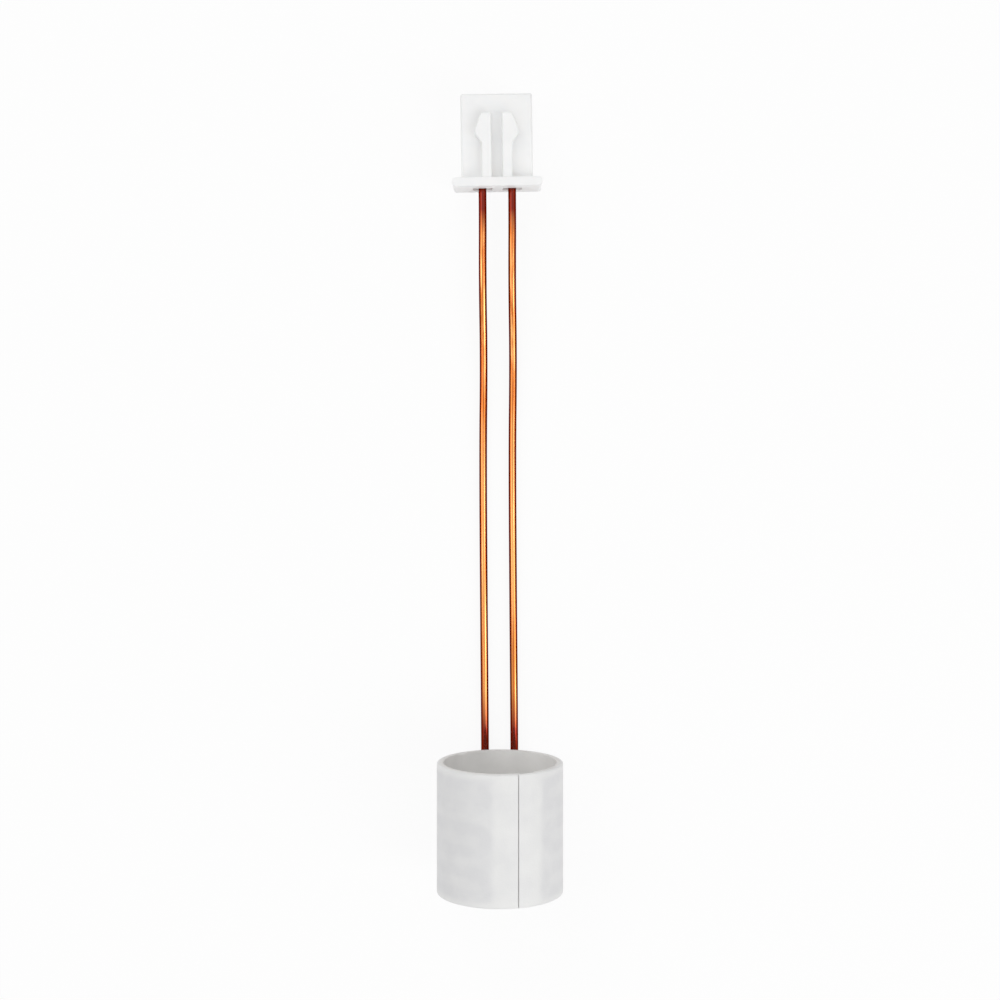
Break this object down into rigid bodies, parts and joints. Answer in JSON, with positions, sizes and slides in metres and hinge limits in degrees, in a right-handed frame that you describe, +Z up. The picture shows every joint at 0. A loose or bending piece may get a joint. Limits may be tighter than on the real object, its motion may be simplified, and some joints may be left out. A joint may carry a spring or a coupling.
{
  "type": "ceramic heater cartridge",
  "caption": "Ring-shaped ceramic heater with a printed track inside its rolled wall, and two enamelled wire leads ending in a small plug.",
  "frame": {"origin": "on the surface that the part lies on, under the middle of the ceramic ring", "axes": "+Y along the ring's bore towards the leads and the plug, +Z up from the surface, +X to the right"},
  "size_m": [0.0104, 0.0661, 0.011],
  "materials": {
    "alumina_core": "sintered, matt",
    "alumina_wrap": "sintered, matt",
    "printed_tungsten": "printed and fired, matt",
    "nickel_plate": "plated, dull",
    "silver_braze": "frozen from the melt, satin",
    "enamelled_copper": "drawn copper under clear enamel, glossy",
    "tinned_contact": "tin plated, stamped",
    "natural_nylon": "moulded, satin, slightly translucent"
  },
  "bodies": {
    "root": {"ceramic_core": "alumina_core", "ceramic_wrap": "alumina_wrap", "heating_trace": "printed_tungsten", "terminal_pad_left": "nickel_plate", "terminal_pad_right": "nickel_plate", "braze_left": "silver_braze", "braze_right": "silver_braze", "lead_left": "enamelled_copper", "lead_right": "enamelled_copper", "contact_left": "tinned_contact", "contact_right": "tinned_contact", "plug_housing": "natural_nylon"}
  },
  "joints": []
}
